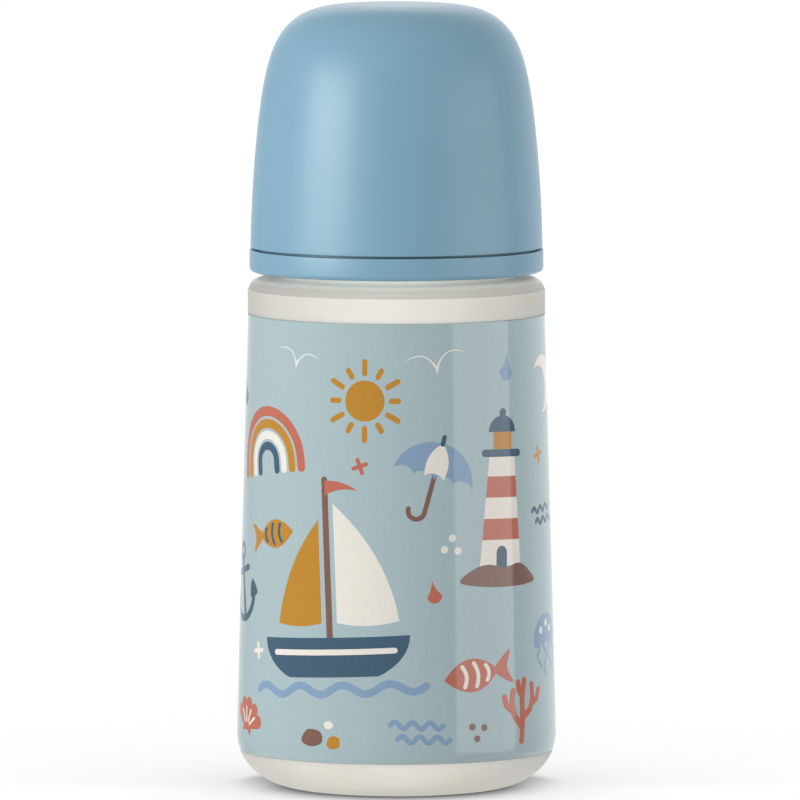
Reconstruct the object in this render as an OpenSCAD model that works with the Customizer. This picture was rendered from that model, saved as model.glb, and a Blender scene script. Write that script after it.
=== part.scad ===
// Wide-neck baby bottle: a bottle with a printed wrap film, closed by a silicone teat,
// a screw ring that clamps it, and a cap that snaps over the ring.
// Millimetres, +Z up, origin at the centre of the standing face.

/* [Bottle] */
// Diameter of the body just above the rounded base edge
body_d = 69.2; // [64:0.1:72]
// Diameter of the plain band under the shoulder
shoulder_d = 64.2; // [62:0.1:70]
// How far the side bows out of a straight taper
body_bulge = 0.055; // [0:0.005:1]
// Height of the rounded base edge
base_h = 11.7; // [6:0.1:16]
// Outer diameter of the flat standing ring
foot_d = 43; // [34:0.5:52]
// Width of the flat standing ring
foot_w = 3; // [1:0.1:6]
// Rise of the hollow under the base
pushup_h = 2.2; // [0.5:0.1:5]
// Height of the lower edge of the shoulder band
band_z = 102.5; // [80:0.5:140]
// Height of the shoulder band
band_h = 5.2; // [3:0.1:12]
// How far the band stands out past the foot of the shoulder
band_step = 0.15; // [0.05:0.05:0.5]
// Rise from the band to the flat shoulder
shoulder_rise = 2.45; // [1.2:0.05:3.4]
// Angle at which the shoulder's rounding leaves the band
shoulder_crease = 10; // [0:1:28]
// Thickness of the side wall
wall = 1.6; // [1:0.1:2.4]
// Thickness of the floor and of the shoulder
floor_t = 1.9; // [1.2:0.1:3]

/* [Neck] */
// Outer diameter of the neck at the root of its thread
neck_d = 51.6; // [46:0.1:53]
// Thickness of the neck wall
neck_wall = 1.8; // [1.2:0.1:3]
// Height of the neck above the flat shoulder
neck_h = 16.85; // [14:0.05:24]
// Fillet at the foot of the neck
neck_fillet = 0.5; // [0.2:0.1:1.7]
// Rounding of the small edges on rim, flange and ring
edge_round = 0.4; // [0.1:0.05:0.6]

/* [Print film] */
// Height of the lower edge of the panel that holds the film
panel_z = 8.1; // [6:0.1:30]
// Depth of that panel
panel_depth = 0.15; // [0.05:0.01:0.5]
// Thickness of the film
film_t = 0.22; // [0.1:0.01:0.6]
// Clearance between the film and the panel
film_gap = 0.03; // [0.01:0.01:0.1]
// Clearance at the film's upper and lower edges
film_edge_gap = 0.1; // [0.05:0.01:0.5]
// Angle of the clear window that the film leaves at the back
window_angle = 48; // [20:1:90]

/* [Teat] */
// Thickness of the flange that seals on the rim
flange_t = 2; // [1:0.1:4]
// Clearance between the flange and the ring's bore
flange_clear = 0.95; // [0.3:0.05:2]
// Diameter of the waist that sits in the ring's opening
waist_d = 40.4; // [34:0.1:44]
// How far the retaining bead reaches over the ring's plate
bead_grip = 0.9; // [0.3:0.1:2]
// Height of the retaining bead
bead_h = 2; // [1:0.1:4]
// How much larger the dome's radius is than the waist's
dome_swell = 0.8; // [0.2:0.1:5]
// Diameter of the nipple
nipple_d = 13; // [10:0.1:16]
// Height of the nipple's tip above the ring's plate
nipple_h = 34; // [29:0.1:44]
// Length of the nipple's rounded end
nipple_end = 5.8; // [4:0.1:8]
// Radius of the hollow curve between the dome and the nipple
nipple_fillet = 6; // [3:0.1:8]
// Thickness of the teat's wall
teat_wall = 1.8; // [1.2:0.1:2.6]
// Diameter of the milk hole and of the air vent
milk_hole_d = 0.8; // [0.4:0.1:2]
// Diameter of the pad around the air vent
vent_pad_d = 5; // [3:0.1:7]
// Height of that pad
vent_pad_h = 0.4; // [0.2:0.1:1]
// Angle of the vent above the dome's level
vent_angle = 35; // [30:1:42]

/* [Screw ring] */
// Gap between the flat shoulder and the ring
ring_gap = 1.35; // [0.5:0.05:4]
// Height of the ring's visible band
ring_band_h = 4.8; // [3:0.05:8]
// How far the band stands out past the cap
ring_proud = 0.2; // [0:0.01:1]
// Thickness of the wall around the bore, at its top
ring_wall = 1.5; // [1:0.1:3]
// Thickness of the ring's plate, ledge and band
plate_t = 2; // [1.4:0.1:3]
// Rounding of the upper wall's top edge
plate_round = 1.2; // [0.5:0.1:1.8]
// Room for the thread ridges between neck and bore
thread_room = 1.75; // [1:0.05:3]
// Clearance between the opening and the teat's waist
opening_clear = 0.3; // [0.2:0.05:1]
// Rounding of the band's lower edge
ring_round = 1.05; // [0.3:0.05:1.8]
// Height of the snap bead above the cap's seat
snap_rise = 2; // [1:0.1:6]
// How far the snap bead stands out of the upper wall
snap_proud = 0.25; // [0.1:0.01:0.35]

/* [Cap] */
// Thickness of the cap
cap_wall = 1.5; // [1:0.1:2.5]
// Clearance between the cap and the ring's upper wall
cap_clear = 0.4; // [0.4:0.05:1]
// Inward lean of the cap's wall and of the ring's upper wall, at the cap's foot
draft = 0.9; // [0.5:0.1:4]
// How much further in than that lean the wall bows by the height of the crown
cap_bow = 4.7; // [0:0.1:6]
// Gap between the teat's tip and the cap
tip_gap = 2.65; // [1:0.05:8]
// Height of the open seam between cap and ring
seam_h = 0.5; // [0.2:0.05:1.5]
// Depth of that seam
seam_depth = 0.9; // [0.3:0.05:0.9]
// Rounding of the edges beside that seam
seam_round = 0.12; // [0.05:0.01:0.3]
// How late the wall turns over into the crown
crown_turn = 8.9; // [4:0.1:12]
// How square the crown's corner is
crown_square = 4.25; // [2.5:0.05:7]
// How far below the apex of the crown's curve its flat top lies
crown_flat = 0.2; // [0.05:0.05:0.6]

/* [Hidden] */
$fn = 128;

// Heights, from the standing face up
shoulder_z = band_z + band_h + shoulder_rise;
rim_z = shoulder_z + neck_h;
flange_z = rim_z + flange_t;
plate_z = flange_z + plate_t;
tip_z = plate_z + nipple_h;
ring_z = shoulder_z + ring_gap;
ledge_z = ring_z + ring_band_h;
cap_z = ledge_z + seam_h;
cap_h = tip_z + tip_gap + cap_wall + crown_flat - cap_z;

// Radii that fit into each other, from the neck out to the cap
neck_r = neck_d / 2;
bore_r = neck_r + thread_room;
cap_in_r = upper_wall_r(cap_z) + cap_clear;
cap_r = cap_in_r + cap_wall;
ring_r = cap_r + ring_proud;
waist_r = waist_d / 2;
opening_r = waist_r + opening_clear;
bead_r = opening_r + bead_grip;
bead_z = plate_z + opening_clear;
dome_r = waist_r + dome_swell;
dome_z = bead_z + bead_h - sqrt(dome_r * dome_r - waist_r * waist_r);
foot_r = foot_d / 2;

// Points of a circle's or an ellipse's arc
function arc(centre, r, from, to, steps = 8) = oval(centre, r, r, from, to, steps);
function oval(centre, rx, rz, from, to, steps = 8) =
    [for (i = [0:steps]) let (a = from + (to - from) * i / steps) centre + [rx * cos(a), rz * sin(a)]];

// Outer radius of the bottle's side: a quarter ellipse, then a slightly bowed taper
function body_r(z) = z < base_h
    ? foot_r + (body_d / 2 - foot_r) * sqrt(1 - pow(1 - z / base_h, 2))
    : let (t = min(1, (z - base_h) / (band_z - base_h)))
        body_d / 2 + (shoulder_d - body_d) / 2 * t + 4 * body_bulge * t * (1 - t);

// The side between two heights, moved in by an inset
function side(from, to, inset, steps = 12) =
    [for (i = [0:steps]) let (z = from + (to - from) * i / steps) [body_r(z) - inset, z]];

// The same for the panel, which may start on the rounded base edge
function panel_side(from, to, inset) = concat(
    from < base_h ? side(from, base_h, inset, 4) : [],
    side(max(from, base_h), to, inset)
);

// How far the cap's wall has leaned in at a height above its foot
function lean(h) = tan(draft) * h + cap_bow * pow(h / cap_h, 2);

// Radius of the ring's upper wall, which leans as the cap does
function upper_wall_r(z) = bore_r + ring_wall + lean(plate_z - cap_z) - lean(z - cap_z);

// A flat-topped dome on a leaning wall: a superellipse whose axes are the wall's foot and the height. Half
// of the points climb the wall at even heights, and half cross the crown at even radii up to the flat.
function crown(foot_radius, height, steps = 20) =
    let (
        flat_z = 1 - crown_flat / height,
        flat_r = pow(1 - pow(flat_z, crown_turn), 1 / crown_square),
        turn_z = pow(0.5, 1 / crown_turn),
        turn_r = pow(0.5, 1 / crown_square)
    )
    concat(
        [for (i = [0:2 * steps])
            let (
                rise = turn_z * i / steps,
                across = turn_r + (flat_r - turn_r) * (i / steps - 1),
                out = i < steps ? pow(1 - pow(rise, crown_turn), 1 / crown_square) : across,
                up = i < steps ? rise : pow(1 - pow(out, crown_square), 1 / crown_turn)
            )
            [(foot_radius - lean(height * up)) * out, cap_z + height * up]],
        [[0, cap_z + height - crown_flat]]
    );

// The teat's dome, hollow curve and nipple, moved in by an inset
function teat_skin(inset) =
    let (
        dome = dome_r - inset,
        fillet = nipple_fillet + inset,
        nipple_r = nipple_d / 2 - inset,
        fillet_r = nipple_r + fillet,
        lift = sqrt(pow(dome + fillet, 2) - fillet_r * fillet_r),
        lean = atan2(lift, fillet_r)
    )
    concat(
        arc([0, dome_z], dome, acos((waist_r - inset) / dome), lean, 10),
        arc([fillet_r, dome_z + lift], fillet, 180 + lean, 180),
        oval([0, tip_z - nipple_end], nipple_r, nipple_end - inset, 0, 90, 10)
    );

function reversed(list) = [for (i = [len(list) - 1:-1:0]) list[i]];

module bottle() {
    sag_r = foot_r - foot_w;
    sag_radius = (sag_r * sag_r + pushup_h * pushup_h) / (2 * pushup_h);
    sag_angle = asin(sag_r / sag_radius);
    corner_end = asin(min(0, panel_z / base_h - 1));
    round_r = shoulder_rise / (1 - sin(shoulder_crease));
    round_centre = [shoulder_d / 2 - band_step - round_r * cos(shoulder_crease), shoulder_z - round_r];
    neck_in_r = neck_r - neck_wall;
    under_z = shoulder_z - floor_t;
    inner_r = shoulder_d / 2 - wall;
    inner_round = shoulder_rise;
    outside = concat(
        arc([0, pushup_h - sag_radius], sag_radius, 90, 90 - sag_angle),
        oval([foot_r, base_h], body_d / 2 - foot_r, base_h, -90, corner_end, 16),
        panel_z > base_h ? side(base_h, panel_z, 0, 4) : [],
        panel_side(panel_z, band_z, panel_depth),
        [[shoulder_d / 2, band_z], [shoulder_d / 2, band_z + band_h]],
        arc(round_centre, round_r, shoulder_crease, 90, 10),
        arc([neck_r + neck_fillet, shoulder_z + neck_fillet], neck_fillet, 270, 180, 5),
        arc([neck_r - edge_round, rim_z - edge_round], edge_round, 0, 90, 4)
    );
    inside = concat(
        arc([neck_in_r + edge_round, rim_z - edge_round], edge_round, 90, 180, 4),
        arc([neck_in_r + neck_fillet, under_z + neck_fillet], neck_fillet, 180, 270, 5),
        arc([inner_r - inner_round, under_z - inner_round], inner_round, 90, 0, 6),
        side(band_z, base_h, wall),
        oval([foot_r, base_h], body_d / 2 - wall - foot_r, base_h - floor_t, 0, -90, 12),
        arc([0, pushup_h - sag_radius + floor_t], sag_radius, 90 - sag_angle, 90)
    );
    color("linen")
        rotate_extrude()
            polygon(concat(outside, inside));
}

module print_film() {
    low = panel_z + film_edge_gap;
    high = band_z - film_edge_gap;
    inner = panel_depth - film_gap;
    outer = inner - film_t;
    color("lightsteelblue")
        rotate([0, 0, 90 + window_angle / 2])
            rotate_extrude(angle = 360 - window_angle)
                polygon(concat(
                    panel_side(low, high, outer),
                    reversed(panel_side(low, high, inner))
                ));
}

// Places its children at the dome's centre, pointing up and out to the back
module on_dome() {
    translate([0, 0, dome_z])
        rotate([vent_angle - 90, 0, 0])
            children();
}

module teat() {
    flange_r = bore_r - flange_clear;
    bead_round = bead_h / 2;
    profile = concat(
        [[waist_r - teat_wall, rim_z]],
        arc([flange_r - edge_round, rim_z + edge_round], edge_round, 270, 360, 4),
        arc([flange_r - edge_round, flange_z - edge_round], edge_round, 0, 90, 4),
        [[waist_r, flange_z], [waist_r, bead_z]],
        arc([bead_r - bead_round, bead_z + bead_round], bead_round, -90, 90),
        teat_skin(0),
        reversed(teat_skin(teat_wall))
    );
    color("oldlace")
        difference() {
            union() {
                rotate_extrude()
                    polygon(profile);
                on_dome()
                    translate([0, 0, dome_r - teat_wall / 2])
                        cylinder(d = vent_pad_d, h = teat_wall / 2 + vent_pad_h);
            }
            translate([0, 0, tip_z - nipple_end])
                cylinder(d = milk_hole_d, h = 2 * nipple_end);
            on_dome()
                cylinder(d = milk_hole_d, h = 2 * dome_r);
        }
}

module screw_ring() {
    land_r = cap_r - seam_depth;
    ledge_under_z = ledge_z - plate_t;
    band_in_r = ring_r - plate_t;
    snap_z = cap_z + snap_rise;
    snap = [for (a = [-90:30:90])
        [upper_wall_r(snap_z) + snap_proud * cos(a), snap_z + 2 * snap_proud * sin(a)]];
    color("skyblue")
        rotate_extrude()
            polygon(concat(
                arc([ring_r - ring_round, ring_z + ring_round], ring_round, 270, 360, 6),
                arc([ring_r - seam_round, ledge_z - seam_round], seam_round, 0, 90, 4),
                [[land_r, ledge_z], [land_r, cap_z], [upper_wall_r(cap_z), cap_z]],
                snap,
                arc([upper_wall_r(plate_z) - plate_round, plate_z - plate_round], plate_round, 0, 90, 6),
                arc([opening_r + edge_round, plate_z - edge_round], edge_round, 90, 180, 4),
                arc([opening_r + edge_round, flange_z + edge_round], edge_round, 180, 270, 4),
                [[bore_r, flange_z], [bore_r, ledge_under_z]],
                [[band_in_r, ledge_under_z], [band_in_r, ring_z]]
            ));
}

module cap() {
    outside = crown(cap_r, cap_h);
    inside = crown(cap_in_r, cap_h - cap_wall);
    color("skyblue")
        rotate_extrude()
            polygon(concat(
                arc([cap_in_r + seam_round, cap_z + seam_round], seam_round, 180, 270, 4),
                arc([cap_r - seam_round, cap_z + seam_round], seam_round, 270, 360, 4),
                [for (p = outside) if (p.y > cap_z + seam_round) p],
                [for (p = reversed(inside)) if (p.y > cap_z + seam_round) p]
            ));
}

bottle();
print_film();
teat();
screw_ring();
cap();
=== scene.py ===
from math import acos, atan2, ceil, cos, degrees, hypot, pi, radians, sin, sqrt, tan

import bmesh
import bpy
from mathutils import Matrix, Vector, geometry


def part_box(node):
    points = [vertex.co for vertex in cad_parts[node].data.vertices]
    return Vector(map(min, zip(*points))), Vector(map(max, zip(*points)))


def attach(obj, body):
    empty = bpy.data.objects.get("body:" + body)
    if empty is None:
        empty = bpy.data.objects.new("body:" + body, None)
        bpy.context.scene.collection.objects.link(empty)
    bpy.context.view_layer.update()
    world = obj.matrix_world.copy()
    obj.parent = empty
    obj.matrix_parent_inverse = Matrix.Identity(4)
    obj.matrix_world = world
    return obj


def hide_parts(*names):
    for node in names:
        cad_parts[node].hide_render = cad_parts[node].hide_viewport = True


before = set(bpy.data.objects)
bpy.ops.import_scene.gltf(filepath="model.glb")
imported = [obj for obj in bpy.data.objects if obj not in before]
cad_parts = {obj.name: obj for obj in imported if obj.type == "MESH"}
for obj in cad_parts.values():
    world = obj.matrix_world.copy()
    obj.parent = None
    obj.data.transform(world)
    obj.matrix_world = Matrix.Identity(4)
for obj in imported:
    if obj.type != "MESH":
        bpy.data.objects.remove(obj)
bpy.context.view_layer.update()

# Bottle. Injection-blow-moulded polypropylene, milky and smooth: a rounded base edge with a standing ring,
# a shallow panel that the print film lies in, a plain band under the shoulder, and a wide neck that the
# screw ring hides but for its foot. All radii and heights are millimetres from the standing face.
MM = 0.001
foot_r = 21.5
foot_w = 3
pushup_h = 2.2
base_h = 11.7
body_r = 34.6
shoulder_r = 32.1
body_bulge = 0.055
panel_z = 8.1
panel_depth = 0.15
band_z = 102.5
band_h = 5.2
band_step = 0.15
shoulder_rise = 2.45
shoulder_crease = 10
neck_r = 25.8
neck_wall = 1.8
neck_fillet = 0.5
edge_round = 0.4
wall = 1.6
floor_t = 1.9
rim_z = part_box("bottle")[1].z / MM
shoulder_z = band_z + band_h + shoulder_rise
same_point = 1e-4
sharp_from = 32


def arc(x, y, rx, ry, start, end, steps=16):
    """Points of an ellipse's arc about (x, y), in degrees."""
    angles = [radians(start + (end - start) * i / steps) for i in range(steps + 1)]
    return [(x + rx * cos(a), y + ry * sin(a)) for a in angles]


def side_r(z):
    """Outer radius of the body at a height: a quarter ellipse, then a slightly bowed taper."""
    if z < base_h:
        return foot_r + (body_r - foot_r) * sqrt(1 - (1 - z / base_h) ** 2)
    t = min(1, (z - base_h) / (band_z - base_h))
    return body_r + (shoulder_r - body_r) * t + 4 * body_bulge * t * (1 - t)


def side(low, high, inset, steps=40):
    """The body's side between two heights, moved in by an inset."""
    heights = [low + (high - low) * i / steps for i in range(steps + 1)]
    return [(side_r(z) - inset, z) for z in heights]


def turned(name, outline, steps=256):
    """A solid of revolution about +Z. The outline is (radius, height) points in order round the wall."""
    before = outline[-1:] + outline[:-1]
    points = [p for p, q in zip(outline, before) if hypot(p[0] - q[0], p[1] - q[1]) > same_point]
    verts, rings = [], []
    for r, z in points:
        count = steps if r > same_point else 1
        angles = [2 * pi * i / steps for i in range(count)]
        rings.append([len(verts) + i % count for i in range(steps)])
        verts += [(r * cos(a) * MM, r * sin(a) * MM, z * MM) for a in angles]
    faces = []
    for low, high in zip(rings, rings[1:] + rings[:1]):
        for i in range(steps):
            j = (i + 1) % steps
            corners = [low[i], low[j], high[j], high[i]]
            face = [c for k, c in enumerate(corners) if c not in corners[:k]]
            if len(face) > 2:
                faces.append(face)
    return solid(name, verts, faces)


def solid(name, verts, faces):
    """A closed mesh, smooth but for its sharp edges."""
    mesh = bpy.data.meshes.new(name)
    mesh.from_pydata(verts, [], faces)
    work = bmesh.new()
    work.from_mesh(mesh)
    bmesh.ops.recalc_face_normals(work, faces=work.faces)
    work.to_mesh(mesh)
    work.free()
    mesh.shade_smooth()
    mesh.set_sharp_from_angle(angle=radians(sharp_from))
    piece = bpy.data.objects.new(name, mesh)
    bpy.context.scene.collection.objects.link(piece)
    return piece


sag_r = foot_r - foot_w
sag_radius = (sag_r ** 2 + pushup_h ** 2) / (2 * pushup_h)
sag_angle = degrees(atan2(sag_r, sag_radius - pushup_h))
corner_end = degrees(atan2(panel_z - base_h, base_h * sqrt(1 - (1 - panel_z / base_h) ** 2)))
round_r = shoulder_rise / (1 - sin(radians(shoulder_crease)))
round_x = shoulder_r - band_step - round_r * cos(radians(shoulder_crease))
neck_in_r = neck_r - neck_wall
under_z = shoulder_z - floor_t
inner_r = shoulder_r - wall
bottle = turned("bottle_body", (
    arc(0, pushup_h - sag_radius, sag_radius, sag_radius, 90, 90 - sag_angle, 24)
    + arc(foot_r, base_h, body_r - foot_r, base_h, -90, corner_end, 40)
    + side(panel_z, base_h, panel_depth, 8)
    + side(base_h, band_z, panel_depth)
    + [(shoulder_r, band_z), (shoulder_r, band_z + band_h)]
    + arc(round_x, shoulder_z - round_r, round_r, round_r, shoulder_crease, 90)
    + arc(neck_r + neck_fillet, shoulder_z + neck_fillet, neck_fillet, neck_fillet, 270, 180, 8)
    + arc(neck_r - edge_round, rim_z - edge_round, edge_round, edge_round, 0, 90, 6)
    + arc(neck_in_r + edge_round, rim_z - edge_round, edge_round, edge_round, 90, 180, 6)
    + arc(neck_in_r + neck_fillet, under_z + neck_fillet, neck_fillet, neck_fillet, 180, 270, 8)
    + arc(inner_r - shoulder_rise, under_z - shoulder_rise, shoulder_rise, shoulder_rise, 90, 0)
    + side(band_z, base_h, wall)
    + arc(foot_r, base_h, body_r - wall - foot_r, base_h - floor_t, 0, -90, 32)
    + arc(0, pushup_h - sag_radius + floor_t, sag_radius, sag_radius, 90 - sag_angle, 90, 24)
))


def colour(code):
    """An sRGB hex value as linear red, green, blue and alpha."""
    shares = [int(code[i:i + 2], 16) / 255 for i in (1, 3, 5)]
    return [s / 12.92 if s <= 0.04045 else ((s + 0.055) / 1.055) ** 2.4 for s in shares] + [1]


def node(tree, kind, sockets=None, **settings):
    """Adds a node, sets its options, and gives its sockets a value or a link."""
    made = tree.nodes.new("ShaderNode" + kind)
    for name, value in settings.items():
        setattr(made, name, value)
    for name, value in (sockets or {}).items():
        if isinstance(value, bpy.types.NodeSocket):
            tree.links.new(value, made.inputs[name])
        else:
            made.inputs[name].default_value = value
    return made


def blank(name):
    """A new material with an empty node tree: the material, its tree, and where its surface goes."""
    material = bpy.data.materials.new(name)
    material.use_nodes = True
    material.node_tree.nodes.clear()
    return material, material.node_tree, node(material.node_tree, "OutputMaterial").inputs["Surface"]


# Milky polypropylene, blow-moulded: light sinks a few millimetres in and glows back, so edges look soft and
# warm. Painted shade: the body is coloured darker than the neck, so that the neck's foot in the shade under
# the ring looks lit, and darker still in a grey band just above the crisp edge of the shoulder, where the
# ring and cap shade it. The skin is semi-matt with a faint orange peel.
# Painted shade: a darker colour for the body below the crease, and a greyer band on the shoulder above it.
body_painted_shade = 0.81
shoulder_painted_shade = 0.6
shoulder_shade_h = 1.5
shade_end_rise = 2.5
crease_margin = 0.02
milky_pp, tree, surface = blank("milky_polypropylene")
place = node(tree, "TexCoord").outputs["Object"]
cloud = node(tree, "TexNoise", {"Vector": place, "Scale": 1 / (18 * MM), "Detail": 2})
peel = node(tree, "TexNoise", {"Vector": place, "Scale": 1 / (1.6 * MM), "Detail": 1})
tint = node(tree, "ValToRGB", {"Fac": cloud.outputs["Fac"]})
tint.color_ramp.elements[0].position, tint.color_ramp.elements[0].color = 0.3, colour("#F3EFE5")
tint.color_ramp.elements[1].position, tint.color_ramp.elements[1].color = 0.7, colour("#F9F6EE")
height = node(tree, "SeparateXYZ", {"Vector": place}).outputs["Z"]
crease_z = (band_z + band_h) * MM
above = node(tree, "MapRange", {
    "Value": height, "From Min": crease_z + shoulder_shade_h * MM, "From Max": crease_z + shade_end_rise * MM,
    "To Min": shoulder_painted_shade})
over_crease = node(tree, "Math", {0: height, 1: crease_z + crease_margin * MM}, operation="GREATER_THAN")
# Painted shade in the colour: the body's factor below the crease, the shoulder's band fading to the neck's
# full colour.
painted_shade = node(tree, "Mix", {0: over_crease.outputs["Value"], 2: body_painted_shade, 3: above.outputs["Result"]})
tint = node(tree, "Mix", {0: 1.0, 6: tint.outputs["Color"], 7: painted_shade.outputs[0]},
            data_type="RGBA", blend_type="MULTIPLY")
shine = node(tree, "MapRange", {"Value": cloud.outputs["Fac"], "To Min": 0.38, "To Max": 0.46})
skin = node(tree, "Bump", {"Height": peel.outputs["Fac"], "Strength": 0.35, "Distance": 0.012 * MM})
shader = node(tree, "BsdfPrincipled", {
    "Base Color": tint.outputs[2], "Roughness": shine.outputs["Result"], "Normal": skin.outputs["Normal"],
    "IOR": 1.49, "Specular IOR Level": 0.2, "Subsurface Weight": 0.6, "Subsurface Radius": (1, 0.85, 0.62),
    "Subsurface Scale": 3 * MM})
tree.links.new(shader.outputs["BSDF"], surface)
bottle.data.materials.append(milky_pp)
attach(bottle, "bottle")
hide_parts("bottle")

# Gate vestige under the base: the flat spot with a small nub that the injection gate leaves in the middle of
# the push-up. It is one with the bottle.
gate_r = 1.4
gate_h = 0.5
gate_round = 0.3
gate_sink = 0.3
gate = turned("bottle_gate", (
    [(0, pushup_h + gate_sink), (0, pushup_h - gate_h)]
    + arc(gate_r - gate_round, pushup_h - gate_h + gate_round, gate_round, gate_round, -90, 0, 6)
    + [(gate_r, pushup_h + gate_sink)]
), steps=64)
gate.data.materials.append(milky_pp)
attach(gate, "bottle")

# Neck thread. A right-hand ridge of one and a half turns, moulded on the neck, that runs out to nothing at
# both ends. It rises 5 mm a turn, as the joint does.
lead = 5
thread_turns = 1.5
ridge_h = 1.2
ridge_foot = 1.15
ridge_crest = 0.45
ridge_sink = 0.15
ridge_least = 0.02
thread_z = 115.2
runout = 24


def bar_faces(first, steps):
    """The faces of a bar of four-cornered sections that follow each other from a first vertex."""
    faces = []
    last = first + 4 * steps
    for a in range(first, last, 4):
        faces += [(a + k, a + (k + 1) % 4, a + 4 + (k + 1) % 4, a + 4 + k) for k in range(4)]
    return faces + [(first + 3, first + 2, first + 1, first), tuple(last + k for k in range(4))]


def ridge(name, root_r, crest_r, start_z, steps=220):
    """A screw ridge from root to crest radius, outward or inward."""
    verts = []
    total = 360 * thread_turns
    sink = ridge_sink if crest_r > root_r else -ridge_sink
    root = root_r - sink
    for i in range(steps + 1):
        turn = total * i / steps
        rise = min(1, turn / runout, (total - turn) / runout)
        rise = sin(rise * pi / 2)
        crest = root + (crest_r - root_r + sink) * rise
        z = start_z + lead * turn / 360
        c, s = cos(radians(turn)), sin(radians(turn))
        section = ((root, -ridge_foot), (crest, -ridge_crest), (crest, ridge_crest), (root, ridge_foot))
        verts += [(r * c * MM, r * s * MM, (z + dz * max(rise, ridge_least)) * MM) for r, dz in section]
    return solid(name, verts, bar_faces(0, steps))


neck_thread = ridge("neck_thread", neck_r, neck_r + ridge_h, thread_z)
neck_thread.data.materials.append(milky_pp)
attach(neck_thread, "bottle")

# Scale in the clear window at the back. Screen-printed in grey-blue ink straight on the bottle: a stroke
# every 10 ml and a longer one with its number every 30 ml, at the heights to which those volumes fill it.
scale_ink_t = 0.04
ink_sink = 0.1
scale_full = 270
stroke_every = 10
number_every = 30
slice_h = 0.1
mark_start = -6.5
mark_long = 7.5
mark_short = 4
mark_half = 0.28
mark_cuts = 8
figure_start = 2.2
figure_h = 3.0
unit_h = 2.8
unit_rise = 6.2
size_to_figure = 1.38


def inner_side_r(z):
    """Inner radius of the bottle at a height, floor to shoulder."""
    if z < base_h:
        return foot_r + (body_r - wall - foot_r) * sqrt(max(0, 1 - ((base_h - z) / (base_h - floor_t)) ** 2))
    return side_r(z) - wall


def fill_height(volume_ml):
    """The height that a volume of milk fills the bottle to."""
    z, held = floor_t + pushup_h / 2, 0
    while held < volume_ml * 1000:
        held += pi * inner_side_r(z) ** 2 * slice_h
        z += slice_h
    return z


def on_back(x, z, out):
    """A point of the flat scale, wrapped on the panel at the back as seen from behind."""
    r = side_r(z) - panel_depth + out
    a = x / side_r(z)
    return (-r * sin(a) * MM, r * cos(a) * MM, z * MM)


verts, faces = [], []
for volume in range(number_every, scale_full + 1, stroke_every):
    z = fill_height(volume)
    length = mark_short if volume % number_every else mark_long
    faces += bar_faces(len(verts), mark_cuts)
    for i in range(mark_cuts + 1):
        x = mark_start + length * i / mark_cuts
        verts += [on_back(x, z - mark_half, -ink_sink), on_back(x, z + mark_half, -ink_sink)]
        verts += [on_back(x, z + mark_half, scale_ink_t), on_back(x, z - mark_half, scale_ink_t)]
scale_marks = solid("scale_marks", verts, faces)


def numeral(text, x, z, height):
    """Printed figures as a thin slab, wrapped on the panel."""
    letters = bpy.data.curves.new("figures", "FONT")
    letters.body = text
    letters.size = height * size_to_figure
    letters.align_y = "CENTER"
    letters.extrude = (scale_ink_t + ink_sink) / 2
    letters.resolution_u = 4
    holder = bpy.data.objects.new("figures", letters)
    bpy.context.scene.collection.objects.link(holder)
    bpy.context.view_layer.update()
    mesh = bpy.data.meshes.new_from_object(holder.evaluated_get(bpy.context.evaluated_depsgraph_get()))
    bpy.data.objects.remove(holder)
    out = scale_ink_t / 2 - ink_sink / 2
    points = [on_back(x + v.co.x, z + v.co.y, v.co.z + out) for v in mesh.vertices]
    made = points, [list(p.vertices) for p in mesh.polygons]
    bpy.data.meshes.remove(mesh)
    return made


volumes = range(number_every, scale_full + 1, number_every)
labels = [(str(volume), fill_height(volume), figure_h) for volume in volumes]
labels.append(("ml", fill_height(scale_full) + unit_rise, unit_h))
verts, faces = [], []
for text, z, size in labels:
    points, rims = numeral(text, figure_start, z, size)
    faces += [[len(verts) + c for c in rim] for rim in rims]
    verts += points
scale_figures = solid("scale_figures", verts, faces)
work = bmesh.new()
work.from_mesh(scale_figures.data)
bmesh.ops.remove_doubles(work, verts=work.verts, dist=0.001 * MM)
bmesh.ops.recalc_face_normals(work, faces=work.faces)
work.to_mesh(scale_figures.data)
work.free()

# Screen ink: an opaque matt film of colour with a slightly uneven lay.
scale_ink, tree, surface = blank("screen_ink")
place = node(tree, "TexCoord").outputs["Object"]
lay = node(tree, "TexNoise", {"Vector": place, "Scale": 1 / (0.9 * MM), "Detail": 2})
tint = node(tree, "ValToRGB", {"Fac": lay.outputs["Fac"]})
tint.color_ramp.elements[0].color, tint.color_ramp.elements[1].color = colour("#6F8796"), colour("#7D95A3")
shine = node(tree, "MapRange", {"Value": lay.outputs["Fac"], "To Min": 0.4, "To Max": 0.55})
shader = node(tree, "BsdfPrincipled", {
    "Base Color": tint.outputs["Color"], "Roughness": shine.outputs["Result"]})
tree.links.new(shader.outputs["BSDF"], surface)
for piece in (scale_marks, scale_figures):
    piece.data.materials.append(scale_ink)
    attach(piece, "bottle")

# Print film. A thin glossy film, printed flat with a seaside pattern, wrapped round the body into its panel
# and heat-set there. It leaves the clear window at the back. The flat artwork is millimetres round the body
# from the middle of the front, and height.
film_t = 0.22
film_gap = 0.03
window_angle = 48
film_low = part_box("print_film")[0].z / MM
film_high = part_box("print_film")[1].z / MM
film_out = film_gap + film_t - panel_depth
film_flat_r = 33.4
film_half = film_flat_r * radians(180 - window_angle / 2)
GROUND, NAVY, BLUE, MUSTARD, TERRACOTTA, BROWN, CREAM = range(7)


def disc(x, y, rx, ry=None):
    return arc(x, y, rx, ry or rx, 0, 360, 48)[:-1]


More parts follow.
